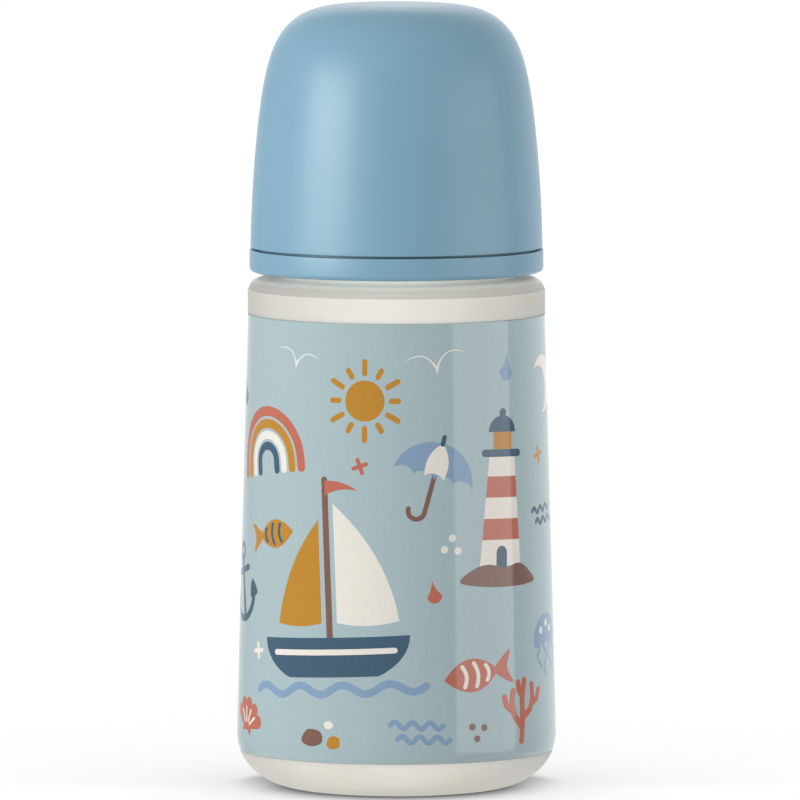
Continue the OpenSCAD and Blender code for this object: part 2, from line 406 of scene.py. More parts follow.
def stroke(line, width):
    """The outline of a line of even width with round ends."""
    left, right, caps = [], [], []
    for i, (x, y) in enumerate(line):
        ahead, behind = line[min(i + 1, len(line) - 1)], line[max(i - 1, 0)]
        dx, dy = ahead[0] - behind[0], ahead[1] - behind[1]
        k = width / 2 / hypot(dx, dy)
        left.append((x - dy * k, y + dx * k))
        right.append((x + dy * k, y - dx * k))
    for (x, y), edge in ((line[-1], left[-1]), (line[0], right[0])):
        turn = degrees(atan2(edge[1] - y, edge[0] - x))
        caps.append(arc(x, y, width / 2, width / 2, turn, turn - 180, 8)[1:-1])
    return left + caps[0] + right[::-1] + caps[1]


def curve(*points, steps=8):
    """A smooth closed outline through the points."""
    outline, n = [], len(points)
    for i in range(n):
        a, b, c, d = (points[(i + k) % n] for k in (-1, 0, 1, 2))
        for t in [s / steps for s in range(steps)]:
            outline.append(tuple(
                b[k] + t * (c[k] - a[k]) / 2
                + t * t * (a[k] - 2.5 * b[k] + 2 * c[k] - d[k] / 2)
                + t ** 3 * (1.5 * (b[k] - c[k]) + (d[k] - a[k]) / 2)
                for k in (0, 1)))
    return outline


def bow(start, end, belly, steps=12):
    """Points from start to end along a parabola that bellies out to the left."""
    dx, dy = end[0] - start[0], end[1] - start[1]
    points = []
    for t in [i / steps for i in range(steps + 1)]:
        k = 4 * belly * t * (1 - t) / hypot(dx, dy)
        points.append((start[0] + dx * t - dy * k, start[1] + dy * t + dx * k))
    return points


def ripple(x, y, length, rise, waves, steps=12):
    """A wavy line about (x, y)."""
    n = waves * steps
    return [(x + length * (i / n - 0.5), y + rise * sin(2 * pi * i / steps)) for i in range(n + 1)]


def boat():
    hull = [(x, max(y, -6.2)) for x, y in arc(0.5, 1.4, 15.5, 9.5, 180, 360, 40)]
    main = (
        [(2.2, 27), (2.2, 15)]
        + bow((2.2, 4.2), (14.2, 4.2), -0.7)[:-1]
        + bow((14.2, 4.2), (2.2, 27), -2.4)[:-1]
    )
    jib = bow((-1, 24), (-11.2, 4.2), -1.6)[:-1] + bow((-11.2, 4.2), (-1, 4.2), -0.6) + [(-1, 14)]
    pennant = (
        [(0.6, 31.4)]
        + bow((0.6, 28.6), (7.4, 29.3), 0.7)[:-1]
        + bow((7.4, 29.3), (0.6, 31.4), -0.7)[:-1]
    )
    return [
        (BROWN, stroke([(0.6, 0), (0.6, 15), (0.6, 31.6)], 1.3)),
        (CREAM, main),
        (MUSTARD, jib),
        (TERRACOTTA, pennant),
        (NAVY, hull),
        (CREAM, stroke([(-12, -1.4), (0, -1.4), (13, -1.4)], 1.1)),
        (BLUE, stroke(ripple(0.5, -8.6, 36, 0.9, 4), 1.5)),
    ]


def lighthouse():
    def storey(low, high):
        half = [5.4 - 0.088 * y for y in (low, high)]
        return [(-half[0], low), (half[0], low), (half[1], high), (-half[1], high)]

    rock = (
        (-9.5, -3.4), (-7.2, -0.8), (-3.5, 0.3), (1, -0.3),
        (5, 0.5), (8.4, -1.2), (9.8, -3.4), (0, -4.2),
    )
    return [
        (CREAM, storey(0, 22)),
        (TERRACOTTA, storey(5.2, 9.4)),
        (TERRACOTTA, storey(13.6, 17.8)),
        (NAVY, [(-1.4, -0.5), (1.4, -0.5)] + arc(0, 2.6, 1.4, 1.4, 0, 180, 12)),
        (MUSTARD, [(-2.5, 22), (2.5, 22), (2.5, 27), (-2.5, 27)]),
        (NAVY, stroke([(-4.6, 22.4), (0, 22.4), (4.6, 22.4)], 1.5)),
        (NAVY, arc(0, 26.6, 3.7, 3.3, 0, 180, 20)),
        (NAVY, disc(0, 30.4, 0.9)),
        (BROWN, curve(*rock)),
    ]


def rainbow():
    shapes = []
    bows = ((TERRACOTTA, 12, 9.8), (MUSTARD, 9.2, 7.2), (CREAM, 6.6, 4.8), (NAVY, 4.2, 2.4))
    for ink, outer, inner in bows:
        middle = (outer + inner) / 2
        leg = [(middle, -2.2), (middle, -1.1)]
        line = leg + arc(0, 0, middle, middle, 0, 180, 32) + [(-x, y) for x, y in leg[::-1]]
        shapes.append((ink, stroke(line, outer - inner)))
    return shapes


def sun():
    shapes = [(MUSTARD, disc(0, 0, 4.4))]
    for i in range(12):
        c, s = cos(pi * i / 6), sin(pi * i / 6)
        tip = 8.4 if i % 2 else 7.4
        shapes.append((MUSTARD, stroke([(r * c, r * s) for r in (5.9, 6.6, tip)], 1.2)))
    return shapes


def moon(ink=CREAM):
    r, bite, shift = 6.2, 5.3, 3.1
    horn = acos((r * r + shift * shift - bite * bite) / (2 * r * shift))
    inner = degrees(atan2(r * sin(horn), r * cos(horn) - shift))
    horn = degrees(horn)
    hollow = arc(shift, 0, bite, bite, 360 - inner, inner, 32)[1:-1]
    return [(ink, arc(0, 0, r, r, horn, 360 - horn, 40) + hollow)]


def umbrella():
    hem = []
    for i in range(4):
        hem += arc(-7.2 + 4.8 * i, 0, 2.4, 1.5, 180, 0, 10)[1:]
    handle = [(0, 8), (0, 0), (0, -7.6)] + arc(-1.9, -7.6, 1.9, 1.9, 0, -180, 12)[1:]
    panel = (
        bow((0, 8.6), (-2.4, 0.9), -1.2)
        + arc(0, 0, 2.4, 1.5, 180, 0, 10)[1:-1]
        + bow((2.4, 0.9), (0, 8.6), -1.2)[:-1]
    )
    return [
        (BROWN, stroke(handle, 1.1)),
        (BLUE, arc(0, 0, 9.6, 8.6, 0, 180, 36) + hem[:-1]),
        (CREAM, panel),
        (NAVY, stroke([(0, 8.4), (0, 9.2), (0, 10)], 1.1)),
    ]


def anchor(ink=NAVY):
    fluke = curve((8, -2.6), (5.9, 0.9), (4.3, -3), steps=6)
    return [
        (ink, disc(0, 8.2, 2.3)),
        (GROUND, disc(0, 8.2, 1.1)),
        (ink, stroke([(0, 6), (0, 0), (0, -7)], 1.5)),
        (ink, stroke([(-4, 3.8), (0, 3.8), (4, 3.8)], 1.5)),
        (ink, stroke(arc(0, -1, 6.2, 6.2, 195, 345, 24), 1.6)),
        (ink, fluke),
        (ink, [(-x, y) for x, y in fluke]),
    ]


def fish(ink, stripe):
    body = bow((-7, 0), (6, 0), 3.6, 18)[:-1] + bow((6, 0), (-7, 0), 3.6, 18)[:-1]
    return [
        (ink, curve((5, 0), (8.4, 3), (10, 3.4), (8.6, 0), (10, -3.4), (8.4, -3))),
        (ink, body),
        (stripe, stroke(bow((-2.6, 2.2), (-2.6, -2.2), 0.7, 8), 0.9)),
        (stripe, stroke(bow((0.2, 2.5), (0.2, -2.5), 0.7, 8), 0.9)),
        (stripe, stroke(bow((3, 1.6), (3, -1.6), 0.6, 8), 0.9)),
    ]


def jellyfish():
    skirt = []
    for i in range(4):
        skirt += arc(-4.65 + 3.1 * i, 0, 1.55, 1.1, 180, 360, 8)[1:]
    shapes = []
    for x, count in ((-4.2, 9), (-1.4, 13), (1.5, 11), (4.3, 14)):
        arm = [(x + 0.8 * sin(0.66 * k + x), -0.6 - 0.6 * k) for k in range(count)]
        shapes.append((BLUE, stroke(arm, 0.9)))
    shapes.append((BLUE, arc(0, 0, 6.2, 5.6, 0, 180, 30) + skirt[:-1]))
    return shapes + [(CREAM, disc(x, y, 0.8)) for x, y in ((-2.4, 2.4), (0.6, 3.4), (2.8, 1.8))]


def coral(ink=TERRACOTTA):
    branches = (
        [(0, -6), (0.2, -2), (-0.2, 3), (0.3, 7)],
        [(0, -3), (-2.6, -0.6), (-3.4, 2.2), (-3.2, 4.6)],
        [(-3.1, 0.4), (-5, 1.6), (-5.6, 3.2)],
        [(0, -1), (2.8, 0.8), (3.5, 3.4), (3.1, 6)],
        [(3.2, 2), (5.2, 3), (5.9, 4.8)],
        [(0, 3.4), (-1.4, 5), (-1.7, 6.4)],
    )
    return [(ink, stroke(line, 1.6)) for line in branches]


def shell():
    fan = []
    for a in (30, 60, 90, 120, 150):
        fan += arc(6 * cos(radians(a)), 6 * sin(radians(a)), 1.7, 1.7, a - 88, a + 88, 10)
    shapes = [
        (TERRACOTTA, curve((-2.4, -1.2), (0, -0.4), (2.4, -1.2), (1.6, 1.2), (-1.6, 1.2))),
        (TERRACOTTA, fan + [(-1.4, 0), (1.4, 0)]),
    ]
    for a in (45, 75, 105, 135):
        rib = [(r * cos(radians(a)), r * sin(radians(a))) for r in (1.8, 3.4, 5)]
        shapes.append((CREAM, stroke(rib, 0.6)))
    return shapes


def gull(ink=CREAM):
    top = bow((-7.6, 2.4), (0, 0.4), 2, 10)[:-1]
    under = bow((7.6, 2.4), (0, -1.5), -2.6, 10)[1:-1]
    upper = top + [(0, 0.4)] + [(-x, y) for x, y in top[::-1]]
    lower = under + [(0, -1.5)] + [(-x, y) for x, y in under[::-1]]
    return [(ink, upper + lower)]


def waves(ink=BLUE):
    return [(ink, stroke(ripple(x, y, 11, 0.7, 3), 1.1)) for x, y in ((-0.8, 1.5), (0.8, -1.5))]


def drop(ink):
    flank = bow((0, 4.2), (2.3, -1.1), -0.5, 8)
    return [(ink, flank + arc(0, -1.1, 2.3, 2.3, 0, -180, 20)[1:-1] + [(-x, y) for x, y in flank[:0:-1]])]


def pebbles():
    return [
        (BROWN, curve((-4.2, -0.8), (-2.6, 1.8), (0.6, 1.4), (1, -1), (-1.6, -2))),
        (MUSTARD, curve((2.2, -1.6), (3, 0.4), (5, 0.2), (5.2, -1.8), (3.6, -2.4))),
        (CREAM, disc(2.6, 3, 1.1, 0.9)),
    ]


def plus(ink):
    return [(ink, stroke([(-2, 0), (0, 0), (2, 0)], 1.2)), (ink, stroke([(0, -2), (0, 0), (0, 2)], 1.2))]


def dots(ink):
    return [(ink, disc(x, y, 0.9)) for x, y in ((-1.8, -1), (1.6, -1.4), (0.2, 1.7))]


# Each motif of the sheet: its place from the middle of the front, its height, its turn and its size.
sheet = (
    (boat(), -15, 33.5, 3, 1.12),
    (lighthouse(), 24.5, 50, -2, 1.08),
    (rainbow(), -33, 72, 8, 0.98),
    (sun(), -7, 86, 0, 1),
    (umbrella(), 8, 69, -16, 0.95),
    (anchor(), -44, 44, 14, 0.95),
    (fish(TERRACOTTA, CREAM), 17, 27, 8, 1),
    (fish(MUSTARD, NAVY), -30, 56.5, 190, 0.85),
    (jellyfish(), 41, 33, 8, 1),
    (coral(), 30, 18, -4, 1),
    (shell(), -40, 13.8, -12, 0.9),
    (gull(), 9, 93, 8, 0.95),
    (gull(), -24, 93.5, -10, 0.8),
    (moon(), 43, 88, 205, 1),
    (waves(), 5, 15, -2, 1),
    (waves(NAVY), 41, 60, 4, 0.85),
    (drop(NAVY), -47, 86, 12, 0.9),
    (drop(BLUE), 27, 92.5, -8, 0.85),
    (drop(TERRACOTTA), 8, 45, 10, 0.7),
    (pebbles(), -17, 13.5, 0, 0.95),
    (plus(MUSTARD), 39, 73, 12, 0.8),
    (plus(TERRACOTTA), -8, 72, 20, 0.75),
    (plus(CREAM), -35, 31, 8, 0.75),
    (dots(CREAM), 12, 55, 0, 0.9),
    (dots(NAVY), -52, 63, 30, 0.9),
    (dots(BROWN), 17.5, 15, 60, 0.85),
    (lighthouse(), -72, 20, 4, 0.98),
    (sun(), -62, 76, 0, 0.92),
    (fish(BLUE, CREAM), -60, 57, 172, 0.95),
    (umbrella(), -79, 68, 14, 0.9),
    (coral(MUSTARD), -56, 32, 6, 0.9),
    (gull(), -74, 92, 6, 0.85),
    (waves(), -56, 14, 3, 0.9),
    (drop(NAVY), -69, 86.5, -6, 0.7),
    (plus(CREAM), -85, 52, 10, 0.8),
    (dots(TERRACOTTA), -85, 14.5, 20, 0.9),
    (pebbles(), -84.5, 86.5, 30, 0.8),
    (plus(TERRACOTTA), -54, 93, 0, 0.7),
    (boat(), 72, 59, -4, 0.82),
    (moon(MUSTARD), 60, 42.5, 160, 0.8),
    (anchor(TERRACOTTA), 81.5, 38, -12, 0.85),
    (fish(NAVY, CREAM), 66, 28, 6, 0.95),
    (rainbow(), 74, 92, -6, 0.7),
    (shell(), 58, 86, 10, 0.95),
    (drop(BLUE), 53, 70, 8, 0.8),
    (coral(BROWN), 83, 19, 0, 0.85),
    (waves(NAVY), 60, 14, -4, 0.9),
    (dots(CREAM), 53, 21, 40, 0.9),
    (plus(MUSTARD), 72.5, 16, 20, 0.75),
    (dots(MUSTARD), 53, 55, 0, 0.85),
)


def fine(outline, longest=1.2):
    """The outline with its long edges cut up, so that they can follow the curve of the body."""
    cut = []
    for a, b in zip(outline, outline[1:] + outline[:1]):
        n = ceil(hypot(b[0] - a[0], b[1] - a[1]) / longest)
        cut += [(a[0] + (b[0] - a[0]) * i / n, a[1] + (b[1] - a[1]) * i / n) for i in range(n)]
    return cut


corners = [(-film_half, film_low), (film_half, film_low), (film_half, film_high), (-film_half, film_high)]
outlines = [(GROUND, fine(corners))]
for motif, u, v, turn, size in sheet:
    c, s = cos(radians(turn)) * size, sin(radians(turn)) * size
    for ink, outline in motif:
        outlines.append((ink, fine([(u + c * x - s * y, v + s * x + c * y) for x, y in outline])))

# The outlines cut the flat sheet into small triangles, each of which takes the ink that was printed last
# there.
mesh_step = 1.6
inside_rims = 1
slope_step = 0.01
columns, rows = ceil(2 * film_half / mesh_step), ceil((film_high - film_low) / mesh_step)
flat = [Vector((film_half * (2 * i / columns - 1), film_low + (film_high - film_low) * j / rows))
        for i in range(columns + 1) for j in range(rows + 1)]
rims = []
for ink, outline in outlines:
    area = sum(a[0] * b[1] - b[0] * a[1] for a, b in zip(outline, outline[1:] + outline[:1]))
    rims.append(list(range(len(flat), len(flat) + len(outline)))[::1 if area > 0 else -1])
    flat += [Vector(p) for p in outline]
flat, _, triangles, _, _, printed_by = geometry.delaunay_2d_cdt(flat, [], rims, inside_rims, same_point)
kept = [(t, max(by)) for t, by in zip(triangles, printed_by) if 0 in by]
used = sorted({k for t, _ in kept for k in t})
flat = [flat[k] for k in used]
number = {old: new for new, old in enumerate(used)}
kept = [([number[k] for k in t], by) for t, by in kept]


def wrapped(point, out):
    """A point of the flat sheet on the body, and its outward direction."""
    a, r = point[0] / film_flat_r, side_r(point[1]) + out
    slope = (side_r(point[1] + slope_step) - side_r(point[1] - slope_step)) / (2 * slope_step)
    way = Vector((sin(a), -cos(a), -slope)).normalized()
    return (r * sin(a) * MM, -r * cos(a) * MM, point[1] * MM), way


face_side = [wrapped(p, film_out) for p in flat]
wall_side = [wrapped(p, film_out - film_t) for p in flat]
count = len(flat)
verts = [p for p, _ in face_side + wall_side]
faces, inks, normals = [], [], []
edges = {}
for triangle, by in kept:
    a, b, c = triangle
    faces += [(a, b, c), (c + count, b + count, a + count)]
    inks += [outlines[by][0], GROUND]
    normals += [face_side[k][1] for k in (a, b, c)] + [-wall_side[k][1] for k in (c, b, a)]
    for e in ((a, b), (b, c), (c, a)):
        edges[e] = True
for a, b in [e for e in edges if e[::-1] not in edges]:
    faces.append((b, a, a + count, b + count))
    inks.append(GROUND)
    p, q, r = (Vector(verts[k]) for k in (b, a, a + count))
    normals += [(q - p).cross(r - q).normalized()] * 4
mesh = bpy.data.meshes.new("print_film_wrap")
mesh.from_pydata(verts, [], faces)
mesh.polygons.foreach_set("material_index", inks)
mesh.shade_smooth()
mesh.normals_split_custom_set(normals)
film = bpy.data.objects.new("print_film_wrap", mesh)
bpy.context.scene.collection.objects.link(film)

# Gravure inks under a clear gloss polypropylene film: flat colour with the slight mottle of solid ink, and a
# hard, clean reflection that waves a little where the film has shrunk.
for name, dark, light in (
    ("film_pale_blue", "#A7BBBF", "#ABBFC3"),
    ("film_navy", "#3F5B71", "#435F75"),
    ("film_mid_blue", "#849FBB", "#88A3BF"),
    ("film_mustard", "#BB842B", "#C0892F"),
    ("film_terracotta", "#BC6A56", "#C06E5A"),
    ("film_brown", "#7C5C50", "#806054"),
    ("film_cream", "#E8E3D9", "#ECE7DD"),
):
    ink, tree, surface = blank(name)
    place = node(tree, "TexCoord").outputs["Object"]
    mottle = node(tree, "TexNoise", {"Vector": place, "Scale": 1 / (0.7 * MM), "Detail": 3})
    shrink = node(tree, "TexNoise", {"Vector": place, "Scale": 1 / (14 * MM), "Detail": 1})
    tint = node(tree, "ValToRGB", {"Fac": mottle.outputs["Fac"]})
    tint.color_ramp.elements[0].position, tint.color_ramp.elements[0].color = 0.3, colour(dark)
    tint.color_ramp.elements[1].position, tint.color_ramp.elements[1].color = 0.7, colour(light)
    shine = node(tree, "MapRange", {"Value": shrink.outputs["Fac"], "To Min": 0.07, "To Max": 0.1})
    wave = node(tree, "Bump", {"Height": shrink.outputs["Fac"], "Strength": 1, "Distance": 0.02 * MM})
    shader = node(tree, "BsdfPrincipled", {
        "Base Color": tint.outputs["Color"], "Roughness": shine.outputs["Result"],
        "Normal": wave.outputs["Normal"], "IOR": 1.5})
    tree.links.new(shader.outputs["BSDF"], surface)
    mesh.materials.append(ink)
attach(film, "bottle")
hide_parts("print_film")

# Teat. Liquid silicone rubber, injection-moulded and clear to milky: a flange that seals on the rim, a waist
# and a retaining bead that button it into the ring, a dome, and a hollow nipple with its milk hole.
flange_t = 2
plate_t = 2
bead_gap = 0.3
flange_z = rim_z + flange_t
plate_z = flange_z + plate_t
tip_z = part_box("teat")[1].z / MM
flange_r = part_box("teat")[1].x / MM
waist_r = 20.2
bead_r = 21.4
bead_z = plate_z + bead_gap
bead_h = 2
dome_r = 21
nipple_r = 6.5
nipple_end = 5.8
nipple_fillet = 6
teat_wall = 1.8
milk_hole_r = 0.4
dome_z = bead_z + bead_h - sqrt(dome_r ** 2 - waist_r ** 2)


def teat_skin(inset):
    """The dome, the hollow curve and the nipple up to the milk hole, moved in by an inset."""
    dome, fillet, radius = dome_r - inset, nipple_fillet + inset, nipple_r - inset
    fillet_r = radius + fillet
    lift = sqrt((dome + fillet) ** 2 - fillet_r ** 2)
    lean = degrees(atan2(lift, fillet_r))
    hole = degrees(acos(milk_hole_r / radius))
    return (
        arc(0, dome_z, dome, dome, degrees(acos((waist_r - inset) / dome)), lean, 32)
        + arc(fillet_r, dome_z + lift, fillet, fillet, 180 + lean, 180, 20)
        + arc(0, tip_z - nipple_end, radius, nipple_end - inset, 0, hole, 28)
    )


teat = turned("teat_body", (
    [(waist_r - teat_wall, rim_z)]
    + arc(flange_r - edge_round, rim_z + edge_round, edge_round, edge_round, 270, 360, 6)
    + arc(flange_r - edge_round, flange_z - edge_round, edge_round, edge_round, 0, 90, 6)
    + [(waist_r, flange_z), (waist_r, bead_z)]
    + arc(bead_r - bead_h / 2, bead_z + bead_h / 2, bead_h / 2, bead_h / 2, -90, 90)
    + teat_skin(0)
    + teat_skin(teat_wall)[::-1]
))

# Air vent on the dome: a thicker pad, one with the teat, around the small hole that lets air in behind the
# milk. It is moulded with the dome and points up and out to the back.
vent_r = 2.5
vent_h = 0.4
vent_angle = 35
vent_round = 0.2
hole_round = 0.1
vent = turned("teat_vent", (
    [(milk_hole_r, dome_r - teat_wall / 2), (vent_r, dome_r - teat_wall / 2)]
    + arc(vent_r - vent_round, dome_r + vent_h - vent_round, vent_round, vent_round, 0, 90, 6)
    + arc(milk_hole_r + hole_round, dome_r + vent_h - hole_round, hole_round, hole_round, 90, 180, 4)
), steps=64)
tilt = Matrix.Rotation(radians(vent_angle - 90), 4, "X")
vent.data.transform(Matrix.Translation((0, 0, dome_z * MM)) @ tilt)

# Silicone: a milky rubber that lets some light through and scatters the rest, so its walls look soft. The
# mould is spark-eroded, which leaves a fine matt skin. Its grit of about 0.05 mm is drawn at 0.4 mm to show.
silicone, tree, surface = blank("silicone_rubber")
place = node(tree, "TexCoord").outputs["Object"]
grit = node(tree, "TexNoise", {"Vector": place, "Scale": 1 / (0.4 * MM), "Detail": 2})
haze = node(tree, "TexNoise", {"Vector": place, "Scale": 1 / (9 * MM), "Detail": 2})
tint = node(tree, "ValToRGB", {"Fac": haze.outputs["Fac"]})
tint.color_ramp.elements[0].color, tint.color_ramp.elements[1].color = colour("#E4E1DA"), colour("#ECEAE4")
shine = node(tree, "MapRange", {"Value": haze.outputs["Fac"], "To Min": 0.3, "To Max": 0.38})
matt = node(tree, "Bump", {"Height": grit.outputs["Fac"], "Strength": 0.5, "Distance": 0.01 * MM})
shader = node(tree, "BsdfPrincipled", {
    "Base Color": tint.outputs["Color"], "Roughness": shine.outputs["Result"],
    "Normal": matt.outputs["Normal"], "IOR": 1.41, "Transmission Weight": 0.36,
    "Subsurface Weight": 0.8, "Subsurface Radius": (1, 0.95, 0.85), "Subsurface Scale": 4 * MM})
tree.links.new(shader.outputs["BSDF"], surface)
for piece in (teat, vent):
    piece.data.materials.append(silicone)
    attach(piece, "teat")
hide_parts("teat")

# Screw ring. Injection-moulded polypropylene with a satin skin: a band that shows below the cap, a seat for
# the cap, a wall with the bead that the cap clips over, and a plate that clamps the teat's flange.
ring_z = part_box("screw_ring")[0].z / MM
ring_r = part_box("screw_ring")[1].x / MM
cap_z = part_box("cap")[0].z / MM
cap_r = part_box("cap")[1].x / MM
crown_flat = 0.2
cap_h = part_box("cap")[1].z / MM + crown_flat - cap_z
draft = 0.9
cap_bow = 4.7
bore_r = 27.55
ring_wall = 1.5
plate_round = 1.2
ring_round = 1.05
opening_r = 20.5
seam_h = 0.5
seam_depth = 1.3
seam_round = 0.12
snap_rise = 2
snap_proud = 0.25
ledge_z = cap_z - seam_h
snap_z = cap_z + snap_rise


def lean(h):
    """How far the cap's wall has leaned in at a height above its foot."""
    return tan(radians(draft)) * h + cap_bow * (h / cap_h) ** 2


def upper_wall_r(z):
    """Outer radius of the ring's upper wall, which leans as the cap does."""
    return bore_r + ring_wall + lean(plate_z - cap_z) - lean(z - cap_z)


ring = turned("screw_ring_body", (
    arc(ring_r - ring_round, ring_z + ring_round, ring_round, ring_round, 270, 360, 12)
    + arc(ring_r - seam_round, ledge_z - seam_round, seam_round, seam_round, 0, 90, 6)
    + [(cap_r - seam_depth, ledge_z), (cap_r - seam_depth, cap_z), (upper_wall_r(cap_z), cap_z)]
    + arc(upper_wall_r(snap_z), snap_z, snap_proud, 2 * snap_proud, -90, 90, 12)
    + arc(upper_wall_r(plate_z) - plate_round, plate_z - plate_round, plate_round, plate_round, 0, 90, 12)
    + arc(opening_r + edge_round, plate_z - edge_round, edge_round, edge_round, 90, 180, 6)
    + arc(opening_r + edge_round, flange_z + edge_round, edge_round, edge_round, 180, 270, 6)
    + [(bore_r, flange_z), (bore_r, ledge_z - plate_t)]
    + [(ring_r - plate_t, ledge_z - plate_t), (ring_r - plate_t, ring_z)]
))
ring_thread = ridge("screw_ring_thread", bore_r, bore_r - ridge_h, thread_z + lead / 2)

# Satin polypropylene: even blue through and through, moulded against a finely eroded steel face. The grain
# of about 0.1 mm is drawn at 0.45 mm to show and spreads highlights wide, with a slight sheen over it.
# Tight inner corners get painted shade: a short occlusion test darkens their colour.
satin_pp, tree, surface = blank("satin_polypropylene")
place = node(tree, "TexCoord").outputs["Object"]
grain = node(tree, "TexNoise", {"Vector": place, "Scale": 1 / (0.45 * MM), "Detail": 2})
flow = node(tree, "TexNoise", {"Vector": place, "Scale": 1 / (22 * MM), "Detail": 2})
tint = node(tree, "ValToRGB", {"Fac": flow.outputs["Fac"]})
tint.color_ramp.elements[0].position, tint.color_ramp.elements[0].color = 0.3, colour("#7AA4BA")
tint.color_ramp.elements[1].position, tint.color_ramp.elements[1].color = 0.7, colour("#7EA8BE")
# Painted shade in tight inner corners, from a short occlusion test that darkens the colour.
corner = node(tree, "AmbientOcclusion", {"Distance": 1.5 * MM}, samples=8, only_local=True)
corner_painted_shade = node(tree, "MapRange", {
    "Value": corner.outputs["AO"], "From Min": 0.5, "From Max": 0.85, "To Min": 0.4})
tint = node(tree, "Mix", {0: 1.0, 6: tint.outputs["Color"], 7: corner_painted_shade.outputs["Result"]},
            data_type="RGBA", blend_type="MULTIPLY")
shine = node(tree, "MapRange", {"Value": grain.outputs["Fac"], "To Min": 0.37, "To Max": 0.45})
rough = node(tree, "Bump", {"Height": grain.outputs["Fac"], "Strength": 0.6, "Distance": 0.01 * MM})
shader = node(tree, "BsdfPrincipled", {
    "Base Color": tint.outputs[2], "Roughness": shine.outputs["Result"], "Normal": rough.outputs["Normal"],
    "IOR": 1.49, "Coat Weight": 0.12, "Coat Roughness": 0.26})
tree.links.new(shader.outputs["BSDF"], surface)
for piece in (ring, ring_thread):
    piece.data.materials.append(satin_pp)
    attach(piece, "screw_ring")
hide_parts("screw_ring")

# Cap. One thin injection-moulded dome of the same satin polypropylene, which clips over the ring's bead and
# stands on its seat. It leaves a narrow shadow line above the ring's band, deepened by painted shade in the
# ring's corner.
cap_wall = 1.5
crown_turn = 8.9
crown_square = 4.25
knee = 0.5
flat_edge = 0.9


def crown(foot, height, steps=64):
    """A leaning wall that turns over into a crown with a flat top: points from the foot to the axis."""
    flat_u = 1 - crown_flat / height
    flat_q = (1 - flat_u ** crown_turn) ** (1 / crown_square)
    knee_q = knee ** (1 / crown_square)
    rises = [knee ** (1 / crown_turn) * i / steps for i in range(steps)]
    widths = [knee_q + (flat_q - knee_q) * i / steps for i in range(steps + 1)]
    shares = [(u, (1 - u ** crown_turn) ** (1 / crown_square)) for u in rises]
    shares += [((1 - q ** crown_square) ** (1 / crown_turn), q) for q in widths]
    shares += [(flat_u, flat_q * flat_edge), (flat_u, 0)]
    return [((foot - lean(height * u)) * q, cap_z + height * u) for u, q in shares]


cap_in_r = cap_r - cap_wall
cap = turned("cap_dome", (
    arc(cap_in_r + seam_round, cap_z + seam_round, seam_round, seam_round, 180, 270, 6)
    + arc(cap_r - seam_round, cap_z + seam_round, seam_round, seam_round, 270, 360, 6)
    + [p for p in crown(cap_r, cap_h) if p[1] > cap_z + seam_round]
    + [p for p in crown(cap_in_r, cap_h - cap_wall)[::-1] if p[1] > cap_z + seam_round]
))
cap.data.materials.append(satin_pp)
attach(cap, "cap")
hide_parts("cap")

# Studio. A pale floor that runs out into white, large softboxes to the left and right out of view, and a
# bright wall behind. Reflectors in front, above and below are kept to the milky pieces, and the film has
# softboxes of its own that leave no mirror image. The camera stands 2.7 m away, a little above the bottle.
scene = bpy.context.scene
scene.view_settings.view_transform = "Standard"
floor_half = 0.6
mesh = bpy.data.meshes.new("studio_floor")
corners = [(x * floor_half, y * floor_half, 0) for x, y in ((-1, -1), (1, -1), (1, 1), (-1, 1))]
mesh.from_pydata(corners, [], [(0, 1, 2, 3)])
floor = bpy.data.objects.new("studio_floor", mesh)
scene.collection.objects.link(floor)
floor.visible_glossy = False

# Painted paper, lit to white: the camera sees it brighter than it lights the bottle, and not at all from
# below. The bottle's shadow is painted into what the camera sees: close round its foot, and thrown a little
# to the back.
paper, tree, surface = blank("studio_paper")
place = node(tree, "TexCoord").outputs["Object"]
fibre = node(tree, "TexNoise", {"Vector": place, "Scale": 1 / (3 * MM), "Detail": 3})
seen = node(tree, "LightPath").outputs["Is Camera Ray"]
# Painted shadow: an occlusion test darkens the paper that the camera sees, close round the bottle.
open_sky = node(tree, "AmbientOcclusion", {"Distance": 0.3}, samples=16)
shade = node(tree, "ValToRGB", {"Fac": open_sky.outputs["AO"]})
for place_on, grey in (
    (0.0, "#565656"), (0.12, "#A2A2A2"), (0.3, "#C9C9C9"),
    (0.55, "#E4E4E4"), (0.8, "#F7F7F7"), (0.97, "#FFFFFF"),
):
    stop = shade.color_ramp.elements.new(place_on)
    stop.color = colour(grey)
shade.color_ramp.elements.remove(shade.color_ramp.elements[-1])
shade.color_ramp.elements.remove(shade.color_ramp.elements[0])
tint = node(tree, "MapRange", {"Value": fibre.outputs["Fac"], "To Min": 0.99, "To Max": 1.02})
# Painted shadow and light: darker just behind the foot, a little lighter just in front of it.
across = node(tree, "SeparateXYZ", {"Vector": place}).outputs["Y"]
lift = node(tree, "MapRange", {
    "Value": across, "From Min": -8 * MM, "From Max": 4 * MM, "To Min": 1.05, "To Max": 1})
thrown_painted_shadow = node(tree, "MapRange", {
    "Value": across, "From Min": -2 * MM, "From Max": 16 * MM, "To Min": 1, "To Max": 0.58},
    interpolation_type="SMOOTHSTEP")
away = node(tree, "VectorMath", {0: place}, operation="LENGTH")
near = node(tree, "MapRange", {
    "Value": away.outputs["Value"], "From Min": 30.5 * MM, "From Max": 37.5 * MM, "To Min": 1, "To Max": 0},
    interpolation_type="SMOOTHSTEP")
shadow = node(tree, "Mix", {0: near.outputs["Result"], 2: 1, 3: thrown_painted_shadow.outputs["Result"]})
painted_shadow = node(tree, "Math", {0: shadow.outputs[0], 1: lift.outputs["Result"]}, operation="MULTIPLY")
glow = node(tree, "Math", {0: tint.outputs["Result"], 1: painted_shadow.outputs["Value"]}, operation="MULTIPLY")
bright = node(tree, "Emission", {"Color": shade.outputs["Color"], "Strength": glow.outputs["Value"]})
